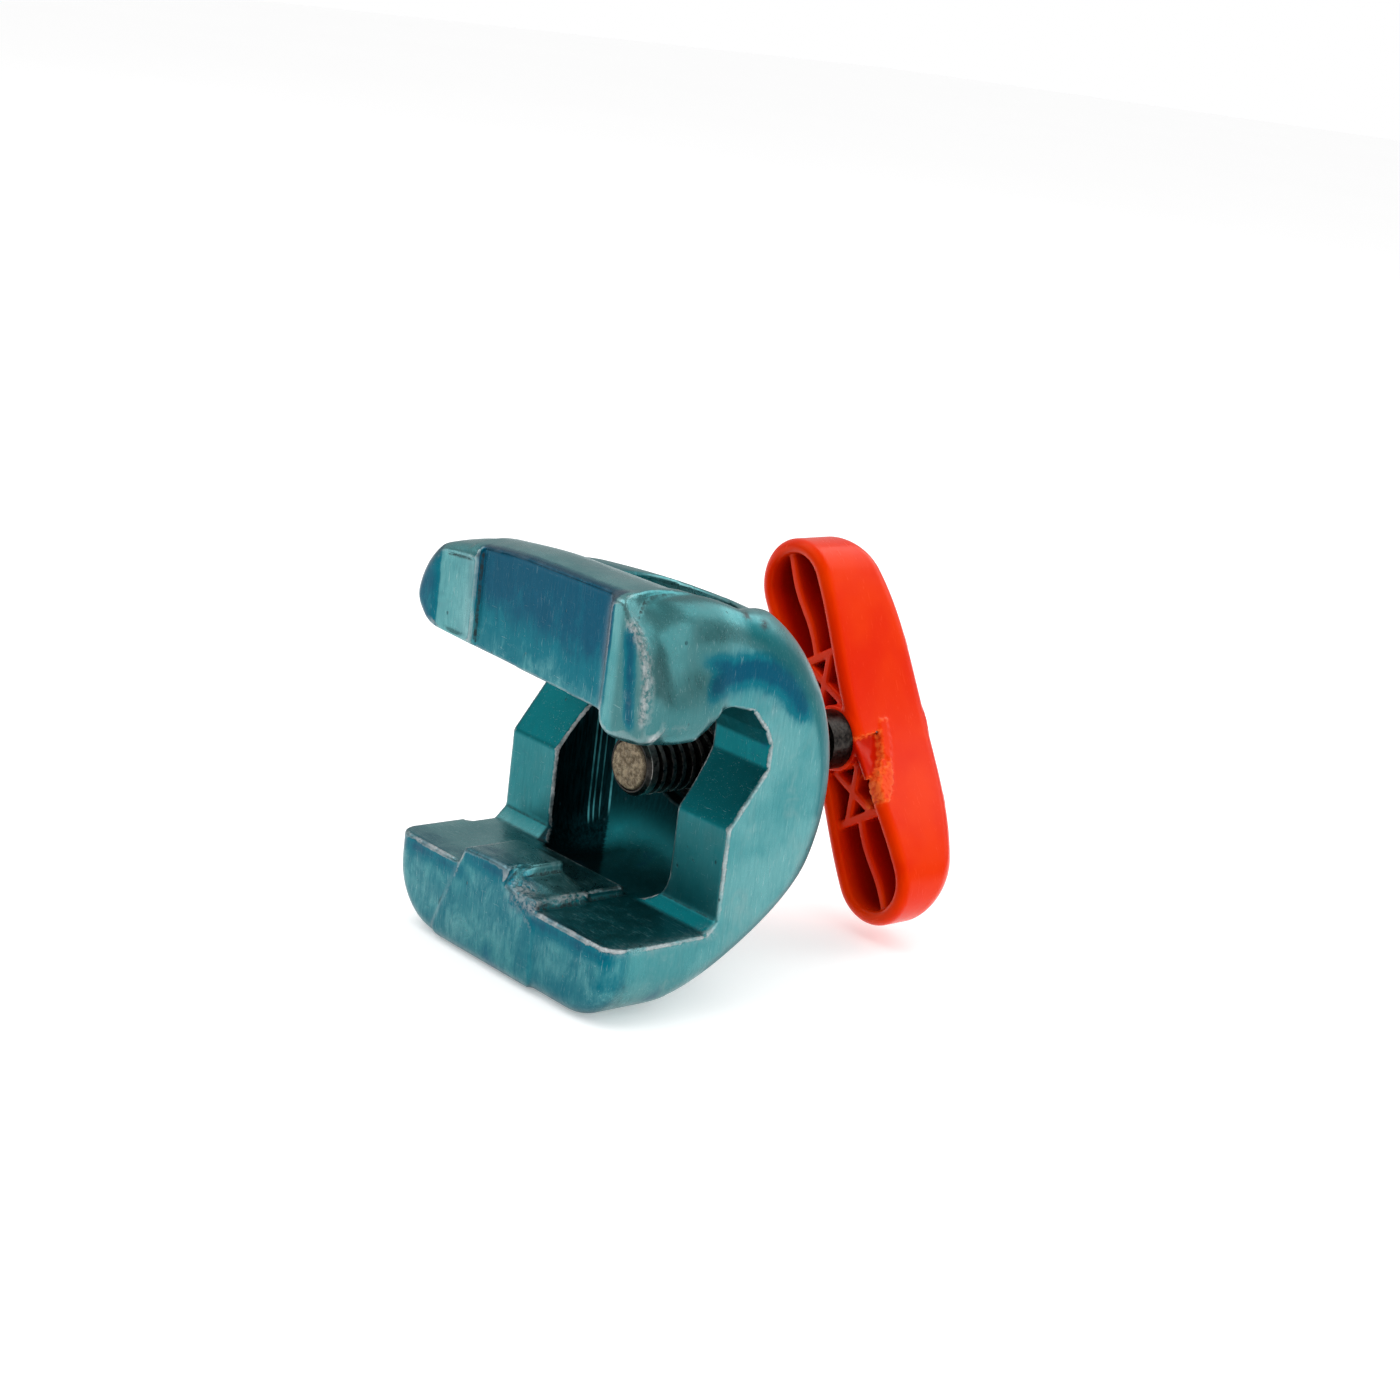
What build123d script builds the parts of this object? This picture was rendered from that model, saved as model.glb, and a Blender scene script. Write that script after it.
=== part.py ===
from build123d import *
from math import cos, radians, sin
import os

# Driving dimensions, millimetres.
# The screw axis is the Y axis. The origin is the centre of the pressure foot's face
# with the screw part way in: -Y runs out of the mouth, +Y to the handle, +Z is up.

# Casting: a barrel-backed C with its mouth open to the front and through both ends.
body_half_width = 27.0
barrel_y = -10.5
barrel_z = 2.0
barrel_radius = 34.6
barrel_edge_radius = 30.8
barrel_round = 5.0
lip_y = -22.0
far = 120.0

floor_z = -18.2
ledge_z = -16.7
ledge_right_x = 8.0
ceiling_z = 17.3
facet_y = -2.0
facet_foot = 2.0
crease_z = -1.7
mouth_back = ((4.4, 7.0), (4.4, 10.5), (3.2, 13.0), (0.0, 16.4), (-4.0, ceiling_z))
mouth_round = 1.2
clearance = 5.0

channel_radius = 15.0
channel_y = -0.8
scoop_front_y = -4.5
scoop_radius = 14.0
wall_top_z = 27.6

jaw_bottom_z = -31.6
jaw_left_x = -28.5
jaw_round = 10.0
jaw_edge_round = 1.5
jaw_back_y = -9.0
jaw_front_y = -22.3
heel_slope = 33.0
heel_y = 3.0
heel_z = -23.8
heel_crown = 4.5
gap_right_x = 14.5
shoulder_x = 12.0
shoulder_y = -2.0
shoulder_rise = 0.33
shoulder_run = 3.3

beam_left_x = -30.6
beam_front_z = 15.8
beam_under_z = 17.0
beam_back_y = -8.6
gap_back_y = -0.5
beam_crown_z = 34.2
beam_shoulder_z = 33.2
beam_back_shoulder_z = 31.6
beam_round = 13.0
beam_under_round = 3.0
beam_edge_round = 1.6
beam_root = 3.0
beam_crown_y = -16.0
recess_left_x = -14.6
recess_right_x = 19.6
recess_depth = 1.0
recess_top_gap = 0.2
groove_x = -19.6
groove_radius = 12.0
groove_depth = 0.9
groove_end = 1.0

tooth_left_x = 19.4
tooth_right_x = 28.8
tooth_back_y = -11.6
tooth_z = 13.6
tooth_front_y = -22.8
tooth_bulge_z = 20.0
tooth_top_z = 30.5
tooth_brow = 6.0
tooth_shoulder_x = 24.0
tooth_root = 2.0
tooth_root_z = 21.3
tooth_face_round = 1.8
tooth_plan_round = 2.4

block_left_x = -9.8
block_step_x = 2.2
block_right_x = 8.6
block_back_y = -12.0
block_top_z = -13.6
block_step_z = -15.4
block_slope_z = -17.0
block_front_y = -22.6
block_top_round = 0.7
block_foot_round = 3.0

# Screw: a 10 mm trapezoidal spindle with 2 mm pitch.
screw_radius = 5.0
screw_pitch = 2.0
thread_depth = 1.0
thread_crest = 0.7
thread_root = 1.25
thread_overlap = 0.05
tip_collar_end_y = 2.4
thread_start_y = 3.2
thread_turns = 18
root_radius = screw_radius - thread_depth
tip_y = 0.5
tip_chamfer = 0.6
collar_start_y = 40.2
tang_radius = 3.1
tang_flat = 2.6
tang_end_y = 54.0
running_gap = 0.06

# Threaded bush pressed into the back wall.
bush_radius = 8.0
bush_front_y = 15.0
bush_back_y = 24.7
bush_flange_radius = 9.6
bush_flange = 1.6
bush_chamfer = 0.4

# Pressure foot, held in the spindle's end by a snap ring.
foot_radius = 4.1
foot_disc = 2.0
foot_stem_radius = 2.0
foot_stem_end_y = 9.0
foot_chamfer = 0.35
foot_socket_gap = 0.5
ring_y = 7.0
ring_wire = 0.4
ring_radius = 2.05
groove_half = 0.45
groove_inner = ring_radius - ring_wire - 0.05
groove_outer = ring_radius + ring_wire + 0.05
ring_gap_angle = 40.0

# Handle: a hollow dog-bone moulding, open towards the casting.
rim_y = 44.6
collar_end_y = rim_y
handle_depth = 18.2
handle_crown_radius = 79.0
handle_crown_x = 3.5
handle_half_length = 33.6
handle_offset = 1.3
handle_end_radius = 8.2
handle_waist = 6.2
handle_wall = 2.5
handle_web = 2.4
handle_back_round = 2.8
handle_rim_round = 0.8
handle_tilt = 32.0
rib_thickness = 1.5
rib_drop = 1.2
cross_rib = 14.0
rib_end_gap = 1.0
brace_x = 9.5
brace_angle = 35.0
brace_length = 11.0
hub_radius = 5.6
pin_radius = 1.0
pin_bore = 0.45
pin_length = 11.6
pin_y = 49.5

os.makedirs("parts", exist_ok=True)


def save(part, label):
    part.label = label
    export_step(part, "parts/" + label + ".step")


def screw_plane(y):
    """Plane across the screw axis at y, with its normal along +Y and its x along +X."""
    return Plane(origin=(0, y, 0), x_dir=(1, 0, 0), z_dir=(0, 1, 0))


def rod(radius, start_y, end_y, mode=Mode.ADD):
    """Round bar or hole along the screw axis."""
    with BuildSketch(screw_plane(start_y)) as section:
        Circle(radius)
    return extrude(section.sketch, amount=end_y - start_y, mode=mode)


def block(x_span, y_span, z_span, mode=Mode.ADD):
    """Box given by its lowest and highest x, y and z."""
    middle = tuple((low + high) / 2 for low, high in (x_span, y_span, z_span))
    with Locations(middle):
        return Box(
            x_span[1] - x_span[0], y_span[1] - y_span[0], z_span[1] - z_span[0], mode=mode
        )


# ---------------------------------------------------------------- casting
# The free beam across the top of the mouth.
with BuildPart() as beam:
    with BuildSketch(Plane.YZ.offset(beam_left_x)) as beam_profile:
        with BuildLine():
            beam_crown = ThreePointArc(
                (lip_y, beam_shoulder_z),
                (beam_crown_y, beam_crown_z),
                (beam_back_y, beam_back_shoulder_z),
            )
            Polyline(
                beam_crown @ 1,
                (beam_back_y, beam_under_z),
                (tooth_back_y, beam_under_z),
                (lip_y, beam_front_z),
                beam_crown @ 0,
            )
        make_face()
        fillet(beam_profile.vertices(), beam_edge_round)
    extrude(amount=tooth_left_x + beam_root - beam_left_x)
    # rounded free end, seen from the front
    with BuildSketch(Plane.XZ) as beam_face:
        with Locations((beam_left_x, beam_front_z)):
            Rectangle(far, beam_crown_z - beam_front_z, align=(Align.MIN, Align.MIN))
        beam_end = beam_face.vertices().group_by(Axis.X)[0].sort_by(Axis.Y)
        fillet(beam_end[-1], beam_round)
        fillet(beam_end[0], beam_under_round)
    extrude(amount=far, mode=Mode.INTERSECT)

# The tooth that hangs from the closed end of the beam, shaped from three sides.
with BuildPart() as tooth:
    with BuildSketch(Plane.YZ.offset(tooth_left_x)):
        with BuildLine():
            Polyline(
                (tooth_front_y, tooth_z),
                (tooth_back_y, tooth_z),
                (tooth_back_y + tooth_root, tooth_root_z),
                (tooth_back_y + tooth_root, tooth_top_z),
                (lip_y, tooth_top_z),
                (tooth_front_y, tooth_top_z - tooth_brow),
                close=True,
            )
        make_face()
    extrude(amount=tooth_right_x - tooth_left_x)
    with BuildSketch(Plane.XZ) as tooth_face:
        with BuildLine():
            Polyline(
                (tooth_left_x, tooth_z),
                (tooth_right_x, tooth_z),
                (tooth_right_x, tooth_bulge_z),
                (tooth_shoulder_x, tooth_top_z),
                (tooth_left_x, tooth_top_z),
                close=True,
            )
        make_face()
        fillet(tooth_face.vertices().sort_by(Axis.X)[-2:], tooth_face_round)
    extrude(amount=far, mode=Mode.INTERSECT)
    with BuildSketch(Plane.XY) as tooth_plan:
        with BuildLine():
            Polyline(
                (tooth_left_x, tooth_front_y),
                (tooth_right_x, tooth_front_y),
                (tooth_right_x, tooth_back_y - tooth_root),
                (body_half_width - jaw_edge_round, tooth_back_y + tooth_root),
                (tooth_left_x, tooth_back_y + tooth_root),
                close=True,
            )
        make_face()
        fillet(tooth_plan.vertices().sort_by(Axis.X)[-2:], tooth_plan_round)
    extrude(amount=far, mode=Mode.INTERSECT)

# The lower jaw's lip.
with BuildPart() as jaw:
    with BuildSketch(Plane.XZ.offset(-jaw_back_y)) as jaw_face:
        with Locations((jaw_left_x, jaw_bottom_z)):
            Rectangle(
                body_half_width - jaw_left_x, ledge_z - jaw_bottom_z, align=(Align.MIN, Align.MIN)
            )
        fillet(jaw_face.vertices().group_by(Axis.Y)[0], jaw_round)
    extrude(amount=jaw_back_y - jaw_front_y)
    fillet(jaw.edges().group_by(Axis.Y)[0], jaw_edge_round)

# The stepped block that stands up in the middle of the lower lip.
with BuildPart() as lip_block:
    with BuildSketch(Plane.XZ.offset(-block_back_y)) as block_face:
        with BuildLine():
            Polyline(
                (block_left_x, jaw_bottom_z),
                (block_left_x, block_top_z),
                (block_step_x, block_top_z),
                (block_step_x, block_step_z),
                (block_right_x, block_slope_z),
                (block_right_x, jaw_bottom_z),
                close=True,
            )
        make_face()
        fillet(block_face.vertices().sort_by(Axis.Y)[-4:], block_top_round)
        fillet(block_face.vertices().group_by(Axis.Y)[0], block_foot_round)
    extrude(amount=block_back_y - block_front_y)

# The upright half-round channel: its foot curves forward onto the floor behind the lip.
with BuildPart() as channel:
    with BuildSketch(Plane.XY.offset(floor_z)):
        with Locations((0, channel_y)):
            Circle(channel_radius)
    extrude(amount=far)
    with BuildSketch(Plane.YZ.offset(-far / 2)):
        with BuildLine():
            channel_back_y = channel_y + channel_radius
            channel_foot = CenterArc(
                (channel_back_y - scoop_radius, floor_z + scoop_radius), scoop_radius, -90, 90
            )
            Polyline(
                channel_foot @ 1,
                (channel_back_y, far),
                (beam_back_y, far),
                (beam_back_y, ledge_z),
                (scoop_front_y, ledge_z),
                (scoop_front_y, floor_z),
                channel_foot @ 0,
            )
        make_face()
    extrude(amount=far, mode=Mode.INTERSECT)

with BuildPart() as clamp_body:
    # barrel-backed body
    barrel_plane = Plane(origin=(0, barrel_y, barrel_z), x_dir=(1, 0, 0), z_dir=(0, -1, 0))
    with BuildSketch(barrel_plane) as barrel_profile:
        with BuildLine():
            barrel_crown = ThreePointArc(
                (-body_half_width, barrel_edge_radius),
                (0, barrel_radius),
                (body_half_width, barrel_edge_radius),
            )
            Polyline(
                barrel_crown @ 1,
                (body_half_width, 0),
                (-body_half_width, 0),
                barrel_crown @ 0,
            )
        make_face()
        fillet(barrel_profile.vertices().group_by(Axis.Y)[-1], barrel_round)
    revolve(axis=Axis((0, barrel_y, barrel_z), (1, 0, 0)))
    block((-far, far), (-far, lip_y), (-far, far), Mode.SUBTRACT)
    # heel: the lower back runs up from the jaw, crowned like the barrel
    heel_plane = Plane(
        origin=(0, heel_y, heel_z),
        x_dir=(1, 0, 0),
        z_dir=(0, cos(radians(heel_slope)), sin(radians(heel_slope))),
    )
    with BuildSketch(heel_plane):
        with BuildLine():
            heel_arc = ThreePointArc(
                (-body_half_width, 0), (0, heel_crown), (body_half_width, 0)
            )
            Polyline(heel_arc @ 1, (far, 0), (far, far), (-far, far), (-far, 0), heel_arc @ 0)
        make_face()
    extrude(amount=far, both=True, mode=Mode.SUBTRACT)
    block((-far, far), (-far, far), (-far, jaw_bottom_z), Mode.SUBTRACT)
    # room for the beam, and the lowered wall behind its free end
    block((-far, tooth_left_x), (-far, beam_back_y), (0, far), Mode.SUBTRACT)
    # and the shoulder that slopes down to it, from the right and from the front
    with BuildSketch(Plane.XZ.offset(-shoulder_y)) as above_wall:
        with BuildLine():
            Polyline(
                (-far, wall_top_z),
                (shoulder_x, wall_top_z),
                (far, wall_top_z + shoulder_rise * (far - shoulder_x)),
                (far, far),
                (-far, far),
                close=True,
            )
        make_face()
    extrude(above_wall.sketch, amount=far, dir=(0, 1, 0), mode=Mode.SUBTRACT)
    forward = Vector(0, beam_back_y - shoulder_y, shoulder_run)
    extrude(above_wall.sketch, amount=forward.length, dir=forward, mode=Mode.SUBTRACT)
    add(jaw.part)
    # mouth, open to the front and through both ends
    with BuildSketch(Plane.YZ.offset(-far / 2)) as mouth_profile:
        with BuildLine():
            Polyline(
                (lip_y - clearance, ledge_z),
                (facet_y - facet_foot, ledge_z),
                (facet_y, ledge_z + facet_foot),
                (facet_y, crease_z),
                *mouth_back,
                (tooth_back_y + facet_foot, ceiling_z),
                (tooth_back_y, tooth_z),
                (lip_y - clearance, tooth_z),
                close=True,
            )
        make_face()
        fillet(mouth_profile.vertices().filter_by(lambda v: v.X > lip_y), mouth_round)
    extrude(amount=far, mode=Mode.SUBTRACT)
    # the floor is lower on the right
    with BuildSketch(Plane.YZ.offset(ledge_right_x)):
        with BuildLine():
            Polyline(
                (lip_y - clearance, floor_z),
                (facet_y - facet_foot, floor_z),
                (facet_y, floor_z + facet_foot),
                (facet_y, 0),
                (lip_y - clearance, 0),
                close=True,
            )
        make_face()
    extrude(amount=far, mode=Mode.SUBTRACT)
    add(beam.part)
    add(tooth.part)
    add(lip_block.part)
    add(channel.part, mode=Mode.SUBTRACT)
    # gap between the free end of the beam and the wall
    block((-far, gap_right_x), (beam_back_y, gap_back_y), (ceiling_z, far), Mode.SUBTRACT)
    # flat recess and upright groove on the front of the beam
    block(
        (recess_left_x, recess_right_x),
        (lip_y - clearance, lip_y + recess_depth),
        (beam_front_z - clearance, beam_shoulder_z - recess_top_gap),
        Mode.SUBTRACT,
    )
    groove_y = lip_y + groove_depth - groove_radius
    with Locations((groove_x, groove_y, (beam_front_z + beam_shoulder_z) / 2)):
        Cylinder(
            groove_radius, beam_shoulder_z - beam_front_z - 2 * groove_end, mode=Mode.SUBTRACT
        )
    # seat for the threaded bush, with a flat round its flange
    rod(bush_radius, 0, bush_back_y, Mode.SUBTRACT)
    rod(far, bush_back_y - bush_flange, far, Mode.SUBTRACT)

save(clamp_body.part, "clamp_body")

# ---------------------------------------------------------------- threaded bush
with BuildPart() as threaded_bush:
    rod(bush_radius, bush_front_y, bush_back_y - bush_flange)
    rod(bush_flange_radius, bush_back_y - bush_flange, bush_back_y)
    rod(screw_radius + running_gap, bush_front_y - 1, bush_back_y + 1, Mode.SUBTRACT)
    bores = threaded_bush.edges().filter_by(GeomType.CIRCLE).group_by(SortBy.RADIUS)[0]
    chamfer(bores, bush_chamfer)
    flange_rim = threaded_bush.edges().group_by(Axis.Y)[-1].sort_by(SortBy.RADIUS)[-1]
    chamfer(flange_rim, bush_chamfer)
save(threaded_bush.part, "threaded_bush")

# ---------------------------------------------------------------- spindle
handle_plane = Plane(
    origin=(0, rim_y, 0),
    x_dir=(-sin(radians(handle_tilt)), 0, cos(radians(handle_tilt))),
    z_dir=(0, 1, 0),
)
pin_plane = Plane(origin=(0, pin_y, 0), x_dir=(0, 1, 0), z_dir=handle_plane.y_dir)

with BuildPart() as pin_hole:
    with BuildSketch(pin_plane.offset(-far / 2)):
        Circle(pin_radius)
    extrude(amount=far)

with BuildPart() as thread:
    with BuildLine() as thread_path:
        Helix(
            pitch=screw_pitch,
            height=screw_pitch * thread_turns,
            radius=root_radius,
            center=(0, thread_start_y, 0),
            direction=(0, 1, 0),
        )
    path_start = thread_path.line @ 0
    outward = Vector(path_start.X, 0, path_start.Z).normalized()
    section_plane = Plane(origin=path_start, x_dir=outward, z_dir=Vector(0, 1, 0).cross(outward))
    with BuildSketch(section_plane) as thread_section:
        with BuildLine():
            Polyline(
                (-thread_overlap, -thread_root / 2),
                (thread_depth, -thread_crest / 2),
                (thread_depth, thread_crest / 2),
                (-thread_overlap, thread_root / 2),
                close=True,
            )
        make_face()
    sweep(path=thread_path.line, is_frenet=True)

with BuildPart() as spindle:
    rod(screw_radius, tip_y, tip_collar_end_y)
    chamfer(spindle.edges().group_by(Axis.Y)[0], tip_chamfer)
    rod(root_radius, tip_collar_end_y, collar_start_y)
    rod(screw_radius, collar_start_y, collar_end_y)
    rod(tang_radius, collar_end_y, tang_end_y)
    add(thread.part)
    # two flats on the tang that turn the handle
    for side in (-1, 1):
        with BuildSketch(handle_plane) as flat:
            with Locations((side * (tang_flat + tang_radius), 0)):
                Rectangle(2 * tang_radius, 4 * tang_radius)
        extrude(flat.sketch, amount=far, mode=Mode.SUBTRACT)
    # socket for the pressure foot, with the snap ring's groove
    rod(foot_radius + running_gap, tip_y - 1, foot_disc + running_gap, Mode.SUBTRACT)
    rod(foot_stem_radius + running_gap, tip_y, foot_stem_end_y + foot_socket_gap, Mode.SUBTRACT)
    rod(groove_outer, ring_y - groove_half, ring_y + groove_half, Mode.SUBTRACT)
    add(pin_hole.part, mode=Mode.SUBTRACT)
save(spindle.part, "spindle")

# ---------------------------------------------------------------- pressure foot
with BuildPart() as pressure_foot:
    rod(foot_radius, 0, foot_disc)
    chamfer(pressure_foot.edges().group_by(Axis.Y)[0], foot_chamfer)
    rod(foot_stem_radius, foot_disc, foot_stem_end_y)
    chamfer(pressure_foot.edges().group_by(Axis.Y)[-1], foot_chamfer)
    with BuildSketch(screw_plane(ring_y - groove_half)) as foot_groove:
        Circle(foot_radius)
        Circle(groove_inner, mode=Mode.SUBTRACT)
    extrude(amount=2 * groove_half, mode=Mode.SUBTRACT)
save(pressure_foot.part, "pressure_foot")

# ---------------------------------------------------------------- foot snap ring
with BuildPart() as foot_snap_ring:
    with BuildSketch(Plane.XY) as wire_section:
        with Locations((ring_radius, ring_y)):
            Circle(ring_wire)
    revolve(axis=Axis.Y, revolution_arc=360 - ring_gap_angle)
save(foot_snap_ring.part, "foot_snap_ring")

# ---------------------------------------------------------------- handle
handle_middle = Plane(
    origin=handle_plane.origin + handle_plane.x_dir * handle_offset,
    x_dir=handle_plane.x_dir,
    z_dir=handle_plane.z_dir,
)


def handle_outline(margin):
    """Dog-bone outline on the handle's plane, drawn in by margin."""
    end_radius = handle_end_radius - margin
    waist = handle_waist - margin
    end_x = handle_half_length - handle_end_radius
    tip_x = handle_half_length - margin
    with BuildSketch(handle_middle) as outline:
        with BuildLine():
            Spline(
                (-end_x, end_radius), (0, waist), (end_x, end_radius), tangents=((1, 0), (1, 0))
            )
            ThreePointArc((end_x, end_radius), (tip_x, 0), (end_x, -end_radius))
            Spline(
                (end_x, -end_radius), (0, -waist), (-end_x, -end_radius), tangents=((-1, 0), (-1, 0))
            )
            ThreePointArc((-end_x, -end_radius), (-tip_x, 0), (-end_x, end_radius))
        make_face()
    return outline.sketch


def handle_core(margin, drop):
    """The outline drawn in by margin and raised to a crowned back, drop short of the real one."""
    crown_plane = Plane(
        origin=handle_plane.origin, x_dir=handle_plane.x_dir, z_dir=-handle_plane.y_dir
    )
    with BuildPart() as core:
        extrude(handle_outline(margin), amount=handle_depth)
        with BuildSketch(crown_plane) as crown:
            with Locations((handle_crown_x, handle_depth - handle_crown_radius)):
                Circle(handle_crown_radius - drop)
        extrude(crown.sketch, amount=far, both=True, mode=Mode.INTERSECT)
    return core.part


with BuildPart() as handle_ribs:
    # ribs, a little below the rim
    with BuildSketch(handle_plane.offset(rib_drop)):
        for end in (-1, 1):
            rib_end = end * handle_offset + handle_half_length - rib_end_gap
            with Locations((end * (cross_rib + rib_end) / 2, 0)):
                Rectangle(rib_end - cross_rib, rib_thickness)
            with Locations((end * cross_rib, 0)):
                Rectangle(rib_thickness, 2 * handle_waist)
            for lean in (-1, 1):
                with Locations(Location((end * brace_x, 0), lean * brace_angle)):
                    Rectangle(brace_length, rib_thickness)
    extrude(amount=handle_depth)
    with BuildSketch(handle_plane):
        Circle(hub_radius)
    extrude(amount=handle_depth)
    add(handle_core(handle_wall / 2, handle_web / 2), mode=Mode.INTERSECT)

with BuildPart() as handle:
    add(handle_core(0, 0))
    fillet(handle.faces().sort_by(Axis.Y)[-1].edges(), handle_back_round)
    fillet(handle.edges().group_by(Axis.Y)[0], handle_rim_round)
    add(handle_core(handle_wall, handle_web), mode=Mode.SUBTRACT)
    add(handle_ribs.part)
    add(spindle.part, mode=Mode.SUBTRACT)
    add(pin_hole.part, mode=Mode.SUBTRACT)
save(handle.part, "handle")

# ---------------------------------------------------------------- handle pin
with BuildPart() as handle_pin:
    with BuildSketch(pin_plane.offset(-pin_length / 2)):
        Circle(pin_radius)
        Circle(pin_bore, mode=Mode.SUBTRACT)
    extrude(amount=pin_length)
save(handle_pin.part, "handle_pin")
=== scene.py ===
"""Looks of a cast rail clamp with a moulded handle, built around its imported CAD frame."""

from itertools import product
from math import cos, degrees, pi, radians, sin

import bpy
import numpy as np
from mathutils import Matrix, Vector


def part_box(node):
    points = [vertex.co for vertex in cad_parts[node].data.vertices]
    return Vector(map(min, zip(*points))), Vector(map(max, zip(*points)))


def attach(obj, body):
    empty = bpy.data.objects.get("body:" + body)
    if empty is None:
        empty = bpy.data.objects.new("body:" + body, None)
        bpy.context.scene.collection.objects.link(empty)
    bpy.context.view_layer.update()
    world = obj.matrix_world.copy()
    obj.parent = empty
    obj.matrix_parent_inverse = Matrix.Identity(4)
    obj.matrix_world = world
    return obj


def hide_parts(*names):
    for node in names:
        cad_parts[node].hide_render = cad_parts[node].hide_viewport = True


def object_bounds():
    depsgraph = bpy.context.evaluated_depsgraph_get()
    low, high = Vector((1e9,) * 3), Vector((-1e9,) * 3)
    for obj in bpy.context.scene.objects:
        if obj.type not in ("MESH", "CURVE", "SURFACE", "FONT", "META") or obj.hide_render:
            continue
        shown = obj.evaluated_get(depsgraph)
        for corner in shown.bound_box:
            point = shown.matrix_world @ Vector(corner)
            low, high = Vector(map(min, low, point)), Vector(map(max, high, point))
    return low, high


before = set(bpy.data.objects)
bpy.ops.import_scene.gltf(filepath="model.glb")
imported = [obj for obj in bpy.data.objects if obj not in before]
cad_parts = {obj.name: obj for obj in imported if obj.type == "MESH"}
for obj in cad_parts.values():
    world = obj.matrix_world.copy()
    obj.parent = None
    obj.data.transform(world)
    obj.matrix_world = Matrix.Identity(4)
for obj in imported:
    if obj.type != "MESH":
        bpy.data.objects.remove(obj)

cad_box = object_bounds()
MM = 0.001

# ------------------------------------------------------------------ places from the frame, millimetres
body_low, body_high = (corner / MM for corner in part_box("clamp_body"))
handle_low, handle_high = (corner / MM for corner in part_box("handle"))
pin_low, pin_high = (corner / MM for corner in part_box("handle_pin"))
foot_low, foot_high = (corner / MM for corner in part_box("pressure_foot"))
pin_middle_y = (pin_low.y + pin_high.y) / 2

# Casting, as in the CAD model.
HALF_WIDTH = 27.0
BARREL_Y, BARREL_Z = -10.5, 2.0
BARREL_RADIUS = 34.6
BARREL_CROWN = 3.8
LIP_Y = -22.0
LEDGE_Z, LEDGE_X = -16.7, 8.0
FLOOR_Z = -18.2
CEILING_Z = 17.3
FACET_Y, FACET_FOOT = -2.0, 2.0
CREASE_Z = -1.7
CHANNEL_RADIUS, CHANNEL_Y = 15.0, -0.8
SCOOP_Y, SCOOP_RADIUS = -4.5, 14.0
WALL_TOP_Z = 27.6
BODY_TOP_Z = 33.6
SHOULDER_X, SHOULDER_Y = 12.0, -2.0
SHOULDER_RISE, SHOULDER_LEAN = 0.33, 0.5
BEAM_BACK_Y = -8.6
BEAM_LEFT, BEAM_END_RADIUS, BEAM_END_TOP = -30.4, 13.0, 33.2
BEAM_CROWN_Z, BEAM_CROWN_Y, BEAM_CROWN_FALL = 34.1, -16.0, 0.0285
BEAM_SAG, BEAM_INTO_TOOTH = 1.5, 0.9
BEAM_UNDER_Z, BEAM_UNDER_SLOPE, BEAM_UNDER_RISE = 15.4, 0.04, 0.9
GROOVE_X, GROOVE_RADIUS, GROOVE_DEPTH = -19.7, 14.0, 0.85
GROOVE_FOOT_Z, GROOVE_TOP_Z = 17.6, 31.4
RECESS_LEFT, RECESS_DEPTH, RECESS_TOP_Z = -14.6, 1.0, 32.9
TOOTH_X, TOOTH_BACK_Y, TOOTH_Z = 19.4, -11.6, 13.6
TOOTH_SIDE_X, TOOTH_FRONT_Y, TOOTH_FOOT_TOP = 28.5, -21.7, 23.0
BROW_X, BROW_Z, BROW_HALF, BROW_HEIGHT = 18.5, 20.5, 10.1, 11.6
RIDGE_Y, RIDGE_BACK_Y, RIDGE_LEAN = -22.7, -19.6, 0.35
BLOCK_LEFT, BLOCK_STEP, BLOCK_RIGHT = -9.8, 2.2, 8.6
BLOCK_BACK, BLOCK_TOP = -12.0, -13.6
STEP_Z, STEP_SLOPE = -15.2, 0.27
HEEL_Y, HEEL_Z, HEEL_TILT, HEEL_CROWN = 3.0, -23.8, radians(33), 4.5
SOLE_Z, JAW_SOLE_Z = -31.5, -31.4
JAW_MIDDLE_X, JAW_HALF, JAW_FRONT_Y = -0.7, 27.6, -22.2
JAW_BACK_Y, JAW_TOP_Z, JAW_CORNER = -9.0, -5.0, 10.5
GAP_RIGHT_X, GAP_BACK_Y = 14.6, -0.5
ROOM_FOOT_Z = 4.0
BOX_MARGIN = 0.2
BUSH_RADIUS, FLANGE_Y = 8.0, 23.1
SHOULDER_PASSES = 30

# Marks on the casting: y, z and size of each dark mark on the shoulder; angle, half width in
# degrees and strength of each painted highlight line in the channel.
RESIDUE = ((-1.8, 30.6, 0.9), (1.7, 29.1, 1.1), (3.9, 31.5, 0.8), (8.9, 28.9, 0.9))
HIGHLIGHT_LINES = ((35.2, 0.9, 1.0), (22.4, 0.8, 0.9), (25.4, 0.7, 0.8), (29.2, 0.6, 0.5))

# Grid spacing of the three meshes.
CASTING_GRID, HANDLE_GRID, FOOT_GRID = 0.5, 0.33, 0.17

# Handle, in its own axes: x along it, y across it, z away from the casting.
TILT = radians(32.0)
ALONG = np.array((-sin(TILT), 0.0, cos(TILT)))
ACROSS = np.array((cos(TILT), 0.0, sin(TILT)))
RIM_Y = handle_low.y
HANDLE_DEPTH = handle_high.y - handle_low.y
CROWN_RADIUS, CROWN_X = 79.0, 3.5
HANDLE_OFFSET = 1.3
HANDLE_HALF = 33.6
END_RADIUS, WAIST = 8.2, 6.2
WALL, WEB = 2.5, 2.4
RIB_HALF, RIB_DROP = 0.75, 1.3
CROSS_RIB, SPINE_END = 14.0, 33.5
BRACE_MIDDLE, BRACE_LEAN, BRACE_HALF, OTHER_BRACE_HALF = 9.5, radians(35.0), 5.5, 4.5
HUB_RADIUS, HUB_DROP = 5.6, 0.05
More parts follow.
